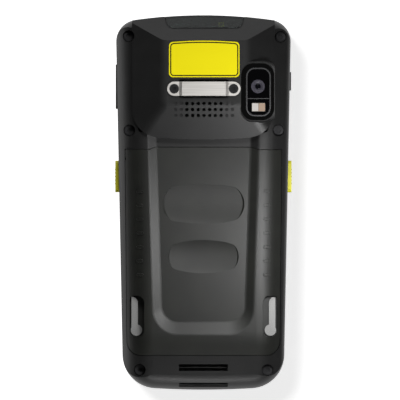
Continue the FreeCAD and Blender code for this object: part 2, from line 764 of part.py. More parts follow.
# three rows of holes, each with the level of the cover's surface there; the outer ones are blind
grille_rows = [(36.7, 25.6), (39.2, 26.4), (41.7, 27.0)]
grille_columns, grille_pitch, grille_left, grille_blind = 11, 2.4, -11.75, 2
grille_holes = []
for row, (row_y, surface) in enumerate(grille_rows):
    for column in range(grille_columns):
        open_hole = grille_blind <= column < grille_columns - grille_blind
        grille_holes.append(drum(
            "grille_%d_%d" % (row, column), "z", (as_size(grille_left + column * grille_pitch), as_size(row_y)),
            (as_size(20 if open_hole else surface - 0.5), as_size(28)), as_size(0.72)))
ring_x = (as_size(-12.3), as_size(12.7))
ring_y = as_size(47.95)
strap_screw_holes = [
    drum("strap_screw_hole_%d" % i, "z", (x, ring_y), (as_size(20), as_size(30)), as_size(0.85))
    for i, x in enumerate(ring_x)
]
bezel_x, bezel_y = (as_size(15.9), as_size(29.8)), (as_size(34.7), as_size(58.6))
bezel_low = camera_top - 0.9
bezel_seat = plate("bezel_seat", bezel_x, bezel_y, (bezel_low, camera_top + 2), as_size(5.0))
lens_x, lens_y = as_size(23.0), as_size(48.9)
flash_x, flash_y = (as_size(20.35), as_size(26.1)), (as_size(38.3), as_size(42.0))
lens_hole = drum("lens_hole", "z", (lens_x, lens_y), (as_size(20), as_size(30)), as_size(3.0))
flash_hole = block("flash_hole", flash_x, flash_y, (as_size(20), as_size(30)))

cover_shell = cut("cover_shell", cover_outer, back_core, cover_hollow, boss_hollow)
cover_solid_parts = fuse("cover_filled", cover_shell, strap_pad, duct)
node("scanner_cover", cut(
    "scanner_cover", cover_solid_parts, window_cut, strap_recess, bezel_seat, lens_hole, flash_hole,
    *(grille_holes + strap_screw_holes + wells("cover_well", None, dim.screw_well))))

# Scan window and its seal
window_skin = cut(
    "window_skin", cover_solid("window_outer", as_size(0.3), dim.floor_high),
    cover_solid("window_inner", as_size(1.5), dim.floor_high - 1),
)
seal_skin = cut(
    "seal_skin", cover_solid("seal_outer", as_size(0.5), dim.floor_high),
    cover_solid("seal_inner", as_size(1.7), dim.floor_high - 1),
)
seal_plan = cut("seal_plan", window_zone("seal_zone", as_size(0), as_size(12.0)),
                window_zone("pane_hole", as_size(0.5), as_size(12.5)))
node("window_gasket", common("window_gasket", seal_skin, seal_plan))
node("scan_window", common("scan_window", window_skin, window_zone("pane_zone", as_size(0.5), as_size(12.5))))

# Scan engine behind the window
engine_low = dim.floor_high + 0.6
node("engine_bracket", plate("engine_bracket", (as_size(-16), as_size(18)), (as_size(58), as_size(74.5)),
                             (dim.floor_high, engine_low), as_size(1.0)))
engine_body = fuse(
    "engine_body",
    plate("engine_case", (as_size(-13), as_size(15)), (as_size(62.5), as_size(73.2)), (engine_low, as_size(19.4)),
          as_size(0.6)),
    drum("engine_neck", "y", (as_size(-1.0), as_size(16.0)), (as_size(72), as_size(74.4)), as_size(2.6)),
)
node("scan_engine", engine_body)
node("scan_lens", drum("scan_lens", "y", (as_size(-1.0), as_size(16.0)), (as_size(74.4), as_size(75.6)),
                       as_size(1.9), as_size(1.4)))
node("illumination_led", plate("illumination_led", (as_size(-11.9), as_size(-4.7)),
                               (as_size(73.2), as_size(75.4)), (as_size(14.2), as_size(18.6)), as_size(0.4)))
node("aimer_lens", drum("aimer_lens", "y", (as_size(7.6), as_size(16.6)), (as_size(73.2), as_size(75.8)),
                        as_size(1.5), as_size(1.1)))
node("aimer_barrel", drum("aimer_barrel", "y", (as_size(12.2), as_size(16.2)), (as_size(73.2), as_size(75.2)),
                          as_size(1.9)))

# Plate, strap bar and its screws
label_left, label_right = as_size(-14.5), as_size(15.2)
label_low_y, label_high_y = as_size(52.8), as_size(67.55)
label_corner = {"round": as_size(1.7)}
node("label_plate", prism("label_plate", "XY_Plane", (dim.plateau_level, dim.plateau_level + 0.2), [
    (label_left, label_low_y, label_corner),
    (label_right, label_low_y, label_corner),
    (label_right, label_high_y, {"bow": as_size(165), **label_corner}),
    (label_left, label_high_y, label_corner),
]))
bar_low = dim.plateau_level
bar_wall, bar_rise = as_size(1.0), as_size(0.9)
bar_strip = prism("bar_strip", "XZ_Plane", (ring_y - 3.0, ring_y + 3.0), [
    (as_size(-15.3), bar_low),
    (as_size(-10.4), bar_low),
    (as_size(-9.2), bar_low + bar_rise),
    (as_size(9.6), bar_low + bar_rise),
    (as_size(10.8), bar_low),
    (as_size(15.7), bar_low),
    (as_size(15.7), bar_low + bar_wall),
    (as_size(10.6), bar_low + bar_wall),
    (as_size(9.4), bar_low + bar_rise + bar_wall),
    (as_size(-9.0), bar_low + bar_rise + bar_wall),
    (as_size(-10.2), bar_low + bar_wall),
    (as_size(-15.3), bar_low + bar_wall),
])
bar_plan = plate("bar_plan", (as_size(-15.25), as_size(15.65)), (ring_y - 2.98, ring_y + 2.98),
                 (bar_low - 1, bar_low + 4), as_size(2.97))
bar_holes = [
    drum("bar_hole_%d" % i, "z", (x, ring_y), (bar_low - 1, bar_low + 4), as_size(2.05)) for i, x in enumerate(ring_x)
]
node("strap_bar", cut("strap_bar", common("bar_blank", bar_strip, bar_plan), *bar_holes))


def hex_socket(name, x, y, low, high, size):
    corners = [
        (x + size * math.cos(math.radians(60 * k)), y + size * math.sin(math.radians(60 * k))) for k in range(6)
    ]
    return prism(name, "XY_Plane", (low, high), corners)


def screw(name, x, y, shank_low, head_low, head_high, head, shank, socket):
    whole = fuse(
        name + "_blank",
        drum(name + "_head", "z", (x, y), (head_low, head_high), head),
        drum(name + "_shank", "z", (x, y), (shank_low, head_low), shank),
    )
    return cut(name, whole, hex_socket(name + "_socket", x, y, head_high - 0.8, head_high + 1, socket))


node("strap_screws", together("strap_screws", *[
    screw("strap_screw_%d" % i, x, ring_y, as_size(23.2), bar_low, bar_low + 0.9, as_size(2.0), as_size(0.85),
          as_size(0.9))
    for i, x in enumerate(ring_x)
]))
node("housing_screws", together("housing_screws", *[
    screw("housing_screw_%d" % i, x, y, as_size(3.2), low, low + 1.6, as_size(2.1), as_size(1.1), as_size(1.1))
    for i, (x, y, low) in enumerate(screw_places)
]))

# Camera
node("camera_bezel", cut(
    "camera_bezel",
    plate("bezel_blank", (bezel_x[0] + 0.05, bezel_x[1] - 0.05), (bezel_y[0] + 0.05, bezel_y[1] - 0.05),
          (bezel_low, camera_top + 0.5), as_size(4.9)),
    plate("bezel_window", (as_size(18.0), as_size(28.4)), (as_size(36.3), as_size(56.8)),
          (bezel_low + 0.3, camera_top + 2), as_size(3.7)),
    drum("bezel_lens_hole", "z", (lens_x, lens_y), (as_size(20), as_size(30)), as_size(3.0)),
    block("bezel_flash_hole", flash_x, flash_y, (as_size(20), as_size(30))),
))
ring_low = bezel_low + 0.3
node("camera_ring", fuse(
    "camera_ring",
    cut(
        "ring_band",
        plate("ring_outer", (as_size(18.0), as_size(28.4)), (as_size(36.3), as_size(56.8)),
              (ring_low, camera_top + 0.6), as_size(3.7)),
        plate("ring_inner", (as_size(18.55), as_size(27.85)), (as_size(36.85), as_size(56.25)),
              (ring_low - 1, camera_top + 2), as_size(3.15)),
    ),
    block("ring_bar", (as_size(18.3), as_size(28.1)), (as_size(43.65), as_size(43.95)),
          (ring_low, camera_top + 0.35)),
))
node("camera_glass", cut(
    "camera_glass",
    plate("glass_pane", (as_size(18.55), as_size(27.85)), (as_size(36.85), as_size(56.25)),
          (ring_low, camera_top + 0.3), as_size(3.15)),
    block("glass_gap", (as_size(18), as_size(29)), (as_size(43.65), as_size(43.95)), (ring_low - 1, camera_top + 2)),
    drum("glass_lens_hole", "z", (lens_x, lens_y), (as_size(20), as_size(30)), as_size(2.9)),
    block("glass_flash_hole", flash_x, flash_y, (as_size(20), as_size(30))),
))
node("camera_lens", fuse(
    "camera_lens",
    cut("lens_barrel",
        drum("lens_tube", "z", (lens_x, lens_y), (camera_top - 1.6, camera_top + 0.25), as_size(2.85)),
        drum("lens_mouth", "z", (lens_x, lens_y), (camera_top - 0.6, camera_top + 0.3), as_size(1.2), as_size(2.2))),
    drum("lens_element", "z", (lens_x, lens_y), (camera_top - 0.7, camera_top - 0.3), as_size(1.2), as_size(0.9)),
))
node("camera_module", plate("camera_module", (as_size(18.8), as_size(27.2)), (as_size(44.7), as_size(53.1)),
                            (as_size(20.4), camera_top - 1.6), as_size(0.8)))
node("flash_led", fuse(
    "flash_led",
    plate("flash_lens", (flash_x[0] + 0.05, flash_x[1] - 0.05), (flash_y[0] + 0.05, flash_y[1] - 0.05),
          (camera_top - 1.6, camera_top + 0.3), as_size(0.4)),
    block("flash_base", (as_size(19.4), as_size(27.0)), (as_size(37.6), as_size(42.8)),
          (camera_top - 2.4, camera_top - 1.6)),
))

# Speaker and its mesh under the grille
node("speaker_mesh", block("speaker_mesh", (as_size(-14), as_size(14.6)), (as_size(34.8), as_size(44.2)),
                           (as_size(22.4), as_size(22.7))))
node("speaker", plate("speaker", (as_size(-13.4), as_size(14.0)), (as_size(35.2), as_size(43.8)),
                      (as_size(17.6), as_size(22.4)), as_size(1.2)))

# Battery lid
lid_skin = back_solid("lid_skin", dim.lid_wall, soft_trough=False)
lid_plan, lid_barrel = lid_zone("lid", as_size(0), dim.floor_high)
barrel_core = hinge_barrel("barrel_core", -dim.lid_wall, dim.lid_top_half + 1)
skirt = common(
    "lid_skirt", cut("barrel_shell", lid_barrel, barrel_core),
    block("skirt_zone", (as_size(-36), as_size(36)), (dim.hinge_y + 1.5, dim.hinge_y + 8),
          (dim.hinge_level - 1, dim.back_level + 1)),
)
lid_plate = cut("lid_plate", fuse("lid_plan_whole", lid_plan, lid_barrel), lid_skin)
well_x = (dim.latch_x - 4.7, dim.latch_x + 3.3)
well_y = (-(dim.latch_y + 3.6), -(dim.latch_y - 15.1))
latch_box_right = block("latch_box_right", well_x, well_y, (dim.well_floor - 1.2, dim.back_level + 1))
latch_box_left = mirrored("latch_box_left", latch_box_right)
lid_blank = common("lid_blank", back, fuse("lid_shape", lid_plate, skirt, latch_box_right, latch_box_left))


def latch_recess(name):
    return prism(name, "XY_Plane", (dim.well_floor, dim.back_level + 4), [
        (dim.latch_x - 3.3, -(dim.latch_y + 2.8), {"round": as_size(2.6)}),
        (dim.latch_x + 2.8, -(dim.latch_y + 2.8), {"round": as_size(2.6)}),
        (dim.latch_x + 2.8, -(dim.latch_y - 14.5), {"round": as_size(1.6)}),
        (dim.latch_x - 3.3, -(dim.latch_y - 14.5), {"round": as_size(3.0)}),
    ])


recess_right = latch_recess("recess_right")
recess_left = mirrored("recess_left", recess_right)


def scoop(name, middle_y, length, width, bow):
    # A dished finger rest: round across, bowed along it with the radius bow, and with leaning ends.
    lowest = dim.back_level - dim.trough_depth - dim.scoop_depth
    radius = (width * width / 4 + dim.scoop_depth * dim.scoop_depth) / (dim.scoop_depth * 2)
    dish = doc.addObject("Part::Ellipsoid", name + "_dish")
    bind(dish, "Radius1", radius)
    bind(dish, "Radius2", Size(math.sqrt(radius.value * bow.value), "sqrt(%s)" % (radius * bow).text))
    bind(dish, "Radius3", radius)
    bind(dish, "Placement.Base.y", middle_y)
    bind(dish, "Placement.Base.z", lowest + radius)
    lean = dim.scoop_depth * math.tan(math.radians(dim.scoop_ends.value))
    half_x, half_y = length / 2 - lean, width / 2 - lean
    limit = prism(name + "_limit", "XY_Plane", (lowest, lowest + 2), rectangle(
        (-half_x, half_x), (middle_y - half_y, middle_y + half_y), half_y - 0.02), taper=dim.scoop_ends)
    return common(name, dish, limit)


scoops = [
    scoop("scoop_upper", as_size(-0.6), as_size(34.6), as_size(16.7), as_size(330)),
    scoop("scoop_lower", as_size(-22.8), as_size(29.8), as_size(14.0), as_size(190)),
]
bump_skin = back_solid("bump_skin", as_size(-0.5), soft_trough=False)
bump_count, bump_pitch = 7, 5.87
bump_forms = []
for sign in (-1, 1):
    for i in range(bump_count):
        middle_x, middle_y = sign * 26.9, 4.7 - i * bump_pitch
        bump_forms.append(plate(
            "bump_%d_%d" % (sign + 1, i), (as_size(middle_x - 1.6), as_size(middle_x + 1.6)),
            (as_size(middle_y - 0.75), as_size(middle_y + 0.75)), (as_size(18.0), as_size(22)), as_size(0.7)))
bumps = cut("bumps", common("bumps_high", bump_skin, fuse("bump_forms", *bump_forms)),
            back_solid("bump_base", as_size(0.3), soft_trough=False))
knuckles = []
for sign, side in ((1, "right"), (-1, "left")):
    span = across(sign, dim.knuckle_start, dim.knuckle_start + dim.knuckle_width)
    knuckles.append(drum("knuckle_" + side, "x", (dim.hinge_y, dim.hinge_level), span, dim.lug_radius + 0.1))
    knuckles.append(common("web_" + side, back, block(
        "web_block_" + side, span, (dim.hinge_y - 1.4, dim.hinge_y + 1.4),
        (dim.hinge_level, dim.back_level - 1))))
pin_clearance = drum("pin_clearance", "x", (dim.hinge_y, dim.hinge_level), (as_size(-36), as_size(36)),
                     dim.pin_radius + 0.05)
pivot_holes = [
    drum("pivot_hole_%d" % (sign + 1), "z", (dim.latch_x * sign, -dim.latch_y), (as_size(10), as_size(24)),
         as_size(0.9))
    for sign in (-1, 1)
]
rib_z = (dim.battery_top + 0.2, dim.back_level - dim.trough_depth - dim.lid_wall + 0.4)
lid_ribs = cut(
    "lid_ribs",
    plate("rib_frame_outer", (as_size(-17.4), as_size(17.4)), (as_size(-48.2), as_size(4.2)), rib_z, as_size(3)),
    plate("rib_frame_inner", (as_size(-16.3), as_size(16.3)), (as_size(-47.1), as_size(3.1)), rib_z, as_size(1.9)),
)
lid_whole = fuse("lid_whole", cut("lid_recessed", lid_blank, recess_right, recess_left, *scoops), bumps, lid_ribs,
                 *knuckles)
node("battery_lid", cut("battery_lid", lid_whole, pin_clearance, *pivot_holes))
node("battery_pad", plate("battery_pad", (as_size(-15), as_size(15)), (as_size(-46), as_size(2)),
                          (dim.battery_top + 0.15, dim.back_level - dim.trough_depth - dim.lid_wall), as_size(2)))

# Latches: a round head and a straight stem
latch_blank = prism("latch_blank", "XY_Plane", (dim.latch_low, dim.latch_high), [
    (dim.latch_x - 0.6, -dim.latch_y),
    (dim.latch_x + dim.latch_stem - 0.6, -dim.latch_y),
    (dim.latch_x + dim.latch_stem - 0.6, -(dim.latch_y - dim.latch_tip)),
    (dim.latch_x - 0.6, -(dim.latch_y - dim.latch_tip), {"round": as_size(2.4)}),
])
latch_head = drum("latch_head", "z", (dim.latch_x, -dim.latch_y), (dim.latch_low, dim.latch_high), dim.latch_head)
latch_bore = drum("latch_bore", "z", (dim.latch_x, -dim.latch_y), (dim.latch_low - 1, dim.latch_high - 0.5),
                  as_size(0.95))
latch_right = cut("latch_right", fuse("latch_whole", latch_blank, latch_head), latch_bore)
node("latch_right", latch_right)
node("latch_left", mirrored("latch_left", latch_right))
latch_pin = drum("latch_pin", "z", (dim.latch_x, -dim.latch_y), (dim.well_floor - 1.2, dim.latch_high - 0.55),
                 as_size(0.9))
node("latch_pins", together("latch_pins", latch_pin, mirrored("latch_pin_left", latch_pin)))

# Battery and contacts
node("battery", plate("battery", (-dim.battery_half, dim.battery_half), (-dim.battery_low_y, dim.battery_high_y),
                      (dim.floor_high, dim.battery_top), as_size(2.0)))
node("battery_contacts", block("battery_contacts", (as_size(-8), as_size(8)),
                               (dim.battery_high_y + 0.1, dim.battery_high_y + 1.0), (dim.floor_high, as_size(14))))

# Front housing with its bosses, openings and seal groove
front_block = case_block("front_block", as_size(0), (as_size(0), dim.split_level))
round_edges(front_block, dim.front_edge, lambda e: near(e.BoundBox.ZMax, 0, 0.01) and near(e.BoundBox.ZMin, 0, 0.01))
front_room = case_block("front_room", dim.wall, (dim.front_wall, dim.split_level + 1))
front_bosses = common("front_bosses", front_block, fuse("front_boss_columns", *[
    drum("front_boss_%d" % i, "z", place[:2], (dim.front_wall, dim.split_level), dim.boss)
    for i, place in enumerate(screw_places)
]))
front_screw_holes = [
    drum("front_screw_hole_%d" % i, "z", place[:2], (as_size(3.2), dim.split_level + 1), as_size(1.1))
    for i, place in enumerate(screw_places)
]
glass_seat = plate("glass_seat", (-(dim.glass_half + 0.1), dim.glass_half + 0.1),
                   (-(dim.glass_low_y + 0.1), dim.glass_high_y + 0.1), (as_size(-1), dim.glass_high),
                   dim.glass_corner + 0.1)
display_x, display_y = (as_size(-29.8), as_size(29.8)), (as_size(-54), as_size(62))
display_hole = plate("display_hole", (display_x[0] - 0.2, display_x[1] + 0.2),
                     (display_y[0] - 0.2, display_y[1] + 0.2), (as_size(-1), dim.front_wall + 1), as_size(1.2))
seal_groove = cut("seal_groove", case_block("groove_outer", as_size(0.8), (as_size(6.2), dim.split_level + 1)),
                  case_block("groove_inner", as_size(1.5), (as_size(6), dim.split_level + 2)))
front_key_x = [as_size(-18), as_size(0), as_size(18)]
front_key_y = (as_size(-69.2), as_size(-63.6))
front_key_half = as_size(6.2)
front_key_holes = [
    plate("front_key_hole_%d" % i, (x - front_key_half - 0.15, x + front_key_half + 0.15),
          (front_key_y[0] - 0.15, front_key_y[1] + 0.15), (as_size(-1), dim.front_wall + 1), as_size(2.4))
    for i, x in enumerate(front_key_x)
]
earpiece_slot = plate("earpiece_slot", (as_size(-6), as_size(6)), (as_size(72.6), as_size(73.8)),
                      (as_size(-1), dim.front_wall + 1), as_size(0.55))
light_place = (as_size(14), as_size(73.2))
light_hole = drum("light_hole", "z", light_place, (as_size(-1), as_size(4)), as_size(0.85))
front_camera_place = (as_size(-20), as_size(66.3))
camera_hole = drum("camera_hole", "z", front_camera_place, (as_size(1), as_size(4)), as_size(2.4))
usb_hole = prism("usb_hole", "XZ_Plane", (as_size(-82), as_size(-74)),
                 rectangle((as_size(-4.7), as_size(4.7)), (as_size(2.9), as_size(6.3)), as_size(1.4)))
dock_hole = prism("dock_hole", "XZ_Plane", (as_size(-82), as_size(-74)),
                  rectangle((as_size(8.4), as_size(18.6)), (as_size(3.2), as_size(6.0)), as_size(0.5)))
microphone_hole = drum("microphone_hole", "y", (as_size(-12), as_size(4.2)), (as_size(-82), as_size(-74)),
                       as_size(0.5))
board_posts = [
    drum("board_post_%d" % i, "z", (as_size(x), as_size(-60.8)), (dim.front_wall, as_size(4.3)), as_size(1.2))
    for i, x in enumerate((-22, -9, 9, 22))
]
front_solid = fuse("front_solid", cut("front_shell", front_block, front_room), front_bosses, *board_posts)
node("front_housing", cut(
    "front_housing", front_solid, glass_seat, display_hole, seal_groove, earpiece_slot, light_hole, camera_hole,
    usb_hole, dock_hole, microphone_hole, *(front_screw_holes + front_key_holes)))
node("housing_seal", cut("housing_seal", case_block("seal_ring", as_size(0.8), (as_size(6.2), dim.split_level)),
                         case_block("seal_ring_inner", as_size(1.5), (as_size(6), dim.split_level + 2))))
node("touch_glass", plate("touch_glass", (-dim.glass_half, dim.glass_half), (-dim.glass_low_y, dim.glass_high_y),
                          (dim.glass_low, dim.glass_high), dim.glass_corner))
node("display_module", plate("display_module", display_x, display_y, (dim.glass_high, as_size(3.3)), as_size(1.0)))
node("midframe", plate("midframe", (as_size(-28), as_size(28)), (as_size(-56), as_size(62)),
                       (as_size(3.3), as_size(4.2)), as_size(2.0)))
node("main_board", plate("main_board", (as_size(-26), as_size(26)), (as_size(-57), as_size(63)),
                         (as_size(4.2), as_size(5.2)), as_size(2.0)))
node("shield_cans", together(
    "shield_cans",
    plate("can_upper", (as_size(-20), as_size(6)), (as_size(28), as_size(50)), (as_size(5.2), as_size(7.4)),
          as_size(0.8)),
    plate("can_middle", (as_size(-8), as_size(20)), (as_size(2), as_size(24)), (as_size(5.2), as_size(7.4)),
          as_size(0.8)),
    plate("can_lower", (as_size(-20), as_size(0)), (as_size(-36), as_size(-14)), (as_size(5.2), as_size(7.0)),
          as_size(0.8)),
))
node("card_holder", plate("card_holder", (as_size(4), as_size(19)), (as_size(-44), as_size(-26)),
                          (as_size(5.2), as_size(6.9)), as_size(0.6)))
node("vibration_motor", drum("vibration_motor", "z", (as_size(-18), as_size(-48)), (as_size(5.2), as_size(8.2)),
                             as_size(4.5)))
node("earpiece", plate("earpiece", (as_size(-7.5), as_size(7.5)), (as_size(70.6), as_size(75.6)),
                       (dim.front_wall, as_size(5.0)), as_size(1.0)))
node("front_camera", drum("front_camera", "z", front_camera_place, (dim.glass_high, as_size(5.4)), as_size(2.3)))
node("status_light_pipe", fuse(
    "status_light_pipe", drum("light_pipe_stem", "z", light_place, (as_size(0.1), as_size(4.4)), as_size(0.8)),
    drum("light_pipe_collar", "z", light_place, (dim.front_wall, dim.front_wall + 0.7), as_size(1.4)),
))
node("microphone", block("microphone", (as_size(-13.6), as_size(-10.4)), (as_size(-76.2), as_size(-74.2)),
                         (dim.front_wall, as_size(5.6))))
node("usb_port", cut(
    "usb_port",
    prism("usb_shell", "XZ_Plane", (as_size(-78.6), as_size(-71.4)),
          rectangle((as_size(-4.5), as_size(4.5)), (as_size(3.1), as_size(6.1)), as_size(1.3))),
    prism("usb_mouth", "XZ_Plane", (as_size(-80), as_size(-73)),
          rectangle((as_size(-4.1), as_size(4.1)), (as_size(3.5), as_size(5.7)), as_size(0.9))),
))
node("dock_contacts", fuse(
    "dock_contacts",
    prism("dock_block", "XZ_Plane", (as_size(-77.4), as_size(-74.5)),
          rectangle((as_size(8.5), as_size(18.5)), (as_size(3.3), as_size(5.9)), as_size(0.5))),
    *[drum("dock_pin_%d" % k, "y", (as_size(9.9 + 1.8 * k), as_size(4.6)), (as_size(-77.9), as_size(-77.0)),
           as_size(0.55)) for k in range(5)],
))
node("keypad_board", plate("keypad_board", (as_size(-23.8), as_size(23.8)), (as_size(-71.4), as_size(-59)),
                           (as_size(4.3), as_size(5.1)), as_size(1.0)))

# Front keys, each a cap with a flange behind the front wall
for label, x in zip(("front_key_left", "front_key_middle", "front_key_right"), front_key_x):
    node(label, fuse(
        label,
        plate(label + "_cap", (x - front_key_half, x + front_key_half), front_key_y,
              (as_size(0.3), dim.front_wall + 0.1), as_size(2.3)),
        plate(label + "_flange", (x - front_key_half - 0.8, x + front_key_half + 0.8),
              (front_key_y[0] - 0.8, front_key_y[1] + 0.8), (dim.front_wall + 0.1, dim.front_wall + 0.8),
              as_size(2.8)),
    ))

# Side keys and the switches behind them
flange_far = {"scan": as_size(33.2), "power": as_size(33.2), "volume": as_size(32.9)}
for name, sign, low, high, out in side_keys:
    inner = flange_far[name.split("_")[0]]
    pieces = [
        prism(name + "_cap", "YZ_Plane", across(sign, inner - 0.4, out),
              rectangle((low, high), (dim.key_low, dim.key_high), as_size(1.25))),
        prism(name + "_flange", "YZ_Plane", across(sign, inner - 0.8, inner),
              rectangle((low - 0.8, high + 0.8), (dim.key_low - 0.35, dim.key_high + 0.45), as_size(1.4))),
    ]
    if name == "volume_rocker":
        pieces.append(drum("rocker_pivot", "z", rocker_axis, (dim.key_low, dim.key_high), rocker_pivot))
    node(name, fuse(name, *pieces))


def switch(name, sign, face, middle_y):
    # A tactile switch on a small upright board that leans against the wall beside the bay.
    return fuse(
        name,
        block(name + "_case", across(sign, face - 2.6, face - 0.6), (middle_y - 2.3, middle_y + 2.3),
              (dim.key_low, dim.key_high)),
        drum(name + "_stem", "x", (middle_y, (dim.key_low + dim.key_high) / 2), across(sign, face - 0.7, face),
             as_size(1.1)),
        block(name + "_board", across(sign, dim.rib_face, face - 2.6), (middle_y - 4.5, middle_y + 4.5),
              (dim.key_low - 0.4, dim.key_high + 0.8)),
    )


node("scan_switches", together("scan_switches", switch("scan_switch_right", 1, as_size(31.5), as_size(11)),
                               switch("scan_switch_left", -1, as_size(31.5), as_size(11))))
node("power_switch", switch("power_switch", 1, as_size(31.5), as_size(51.3)))
node("volume_switches", together("volume_switches", switch("volume_switch_up", -1, as_size(31.8), as_size(54.6)),
                                 switch("volume_switch_down", -1, as_size(31.8), as_size(43.4))))

doc.recompute()

# Check everything, then write one file for each sub-part
for thing in doc.Objects:
    if "Invalid" in thing.State or "Error" in thing.State:
        raise RuntimeError("%s did not rebuild" % thing.Name)
os.makedirs("parts", exist_ok=True)
for solid in shown:
    shape = solid.Shape
    if shape.isNull() or not shape.isValid() or shape.Volume <= 0:
        raise RuntimeError("%s has no sound shape" % solid.Label)
    shape.exportStep("parts/%s.step" % solid.Label)
print("%d sub-parts written" % len(shown))
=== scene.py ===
import math

import bmesh
import bpy
from mathutils import Matrix, Vector
from mathutils.bvhtree import BVHTree


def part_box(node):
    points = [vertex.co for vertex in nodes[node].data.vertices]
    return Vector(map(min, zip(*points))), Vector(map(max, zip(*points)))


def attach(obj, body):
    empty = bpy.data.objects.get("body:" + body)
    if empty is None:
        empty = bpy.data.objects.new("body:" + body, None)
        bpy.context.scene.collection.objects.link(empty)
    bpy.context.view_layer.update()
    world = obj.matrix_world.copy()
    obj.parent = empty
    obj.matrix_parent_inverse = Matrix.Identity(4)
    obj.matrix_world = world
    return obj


# A hand-held barcode data terminal, lying face down and seen from straight above.
# The solids come from the frame; this script gives them their finishes and adds the fine pieces.
# Places and sizes are in mm, apart from the floor, the lamps and the camera, which are in metres.

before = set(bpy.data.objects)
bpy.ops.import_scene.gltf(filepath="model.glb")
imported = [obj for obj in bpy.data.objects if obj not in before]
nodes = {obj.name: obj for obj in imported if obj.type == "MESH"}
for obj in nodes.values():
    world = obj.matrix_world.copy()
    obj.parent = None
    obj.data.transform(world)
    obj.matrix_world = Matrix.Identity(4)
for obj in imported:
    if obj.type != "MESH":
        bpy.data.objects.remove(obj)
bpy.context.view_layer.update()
mm = 0.001
print("frame loaded:", len(nodes), "nodes")


# Finishes

def toLinear(hexText):
    levels = [int(hexText[i:i + 2], 16) / 255 for i in (1, 3, 5)]
    return tuple(v / 12.92 if v <= 0.04045 else ((v + 0.055) / 1.055) ** 2.4 for v in levels) + (1.0,)


def addNode(tree, kind, settings=None, **links):
    # Settings are the node's own choices, or values for its sockets by name or number.
    # Links are sockets of other nodes; _0 goes into this node's first socket, _1 into its second.
    item = tree.nodes.new("ShaderNode" + kind)
    for key, value in (settings or {}).items():
        if hasattr(item, str(key)):
            setattr(item, key, value)
        else:
            item.inputs[key].default_value = value
    for key, source in links.items():
        place = int(key[1:]) if key[1:].isdigit() else key.replace("_", " ")
        tree.links.new(source, item.inputs[place])
    return item


def newMaterial(name, settings):
    # A principled surface; the caller hangs its patterns on it.
    material = bpy.data.materials.new(name)
    material.use_nodes = True
    tree = material.node_tree
    tree.nodes.clear()
    shader = addNode(tree, "BsdfPrincipled", settings)
    addNode(tree, "OutputMaterial", None, Surface=shader.outputs[0])
    return material, tree, shader


plasticIor = 1.5
toneSpan = (0.35, 0.65)  # shares of a grain's range where its dark tone ends and its light one starts
mottleMm = 9.0  # size of the faint patches of tone on moulded plastic
waviness = {"size": 6.0, "depth": 0.004}  # slow unevenness of a polished face


def grainAt(tree, sizeMm, detail, stretch=(1, 1, 1)):
    # Random patches about sizeMm across, drawn out along an axis where its stretch is small.
    place = addNode(tree, "TexCoord").outputs["Object"]
    drawn = addNode(tree, "Mapping", {"Scale": stretch}, Vector=place)
    noise = addNode(tree, "TexNoise", {"Scale": 1 / (sizeMm * mm), "Detail": detail},
                    Vector=drawn.outputs[0])
    return noise.outputs["Fac"]


def toneOn(tree, shader, grain, look):
    # The colour follows the grain, blending from the look's dark tone to its light one.
    ramp = addNode(tree, "ValToRGB", None, Fac=grain)
    for stop, share, tone in zip(ramp.color_ramp.elements, toneSpan, ("dark", "light")):
        stop.position = share
        stop.color = toLinear(look[tone])
    tree.links.new(ramp.outputs["Color"], shader.inputs["Base Color"])


def reliefOn(tree, shader, grain, depthMm):
    bump = addNode(tree, "Bump", {"Strength": 1.0, "Distance": depthMm * mm}, Height=grain)
    tree.links.new(bump.outputs[0], shader.inputs["Normal"])


def mouldedPlastic(name, look):
    # Spark-eroded mould grain: fine random pits that spread the highlight, over a faint mottling.
    material, tree, shader = newMaterial(name, {
        "Roughness": look["roughness"],
        "Specular IOR Level": look.get("specular", 0.5),
        "IOR": plasticIor,
    })
    toneOn(tree, shader, grainAt(tree, mottleMm, 3), look)
    reliefOn(tree, shader, grainAt(tree, look["grain"], 3), look["depth"])
    return material


def brushedMetal(name, look):
    # Scratches from a belt, long along one axis, draw the highlight out across them.
    # With a stretch of 1 all round they are the even pits of blasting, casting or plating.
    material, tree, shader = newMaterial(name, {"Metallic": 1.0, "Roughness": look["roughness"]})
    scratches = grainAt(tree, look["grain"], 4, look["stretch"])
    toneOn(tree, shader, scratches, look)
    reliefOn(tree, shader, scratches, look["depth"])
    return material


def plainGloss(name, look):
    # Polished or coated piece; the slow waviness keeps its reflection from looking drawn.
    # Its look is given by the shader's own sockets.
    material, tree, shader = newMaterial(name, {
        "IOR": plasticIor, **look, "Base Color": toLinear(look["Base Color"]),
    })
    reliefOn(tree, shader, grainAt(tree, waviness["size"], 1), waviness["depth"])
    return material


# Grain and depth are in mm. Real mould grain is about 0.1 mm and real brushing is finer still:
# both are drawn as coarse as they need to be to show.

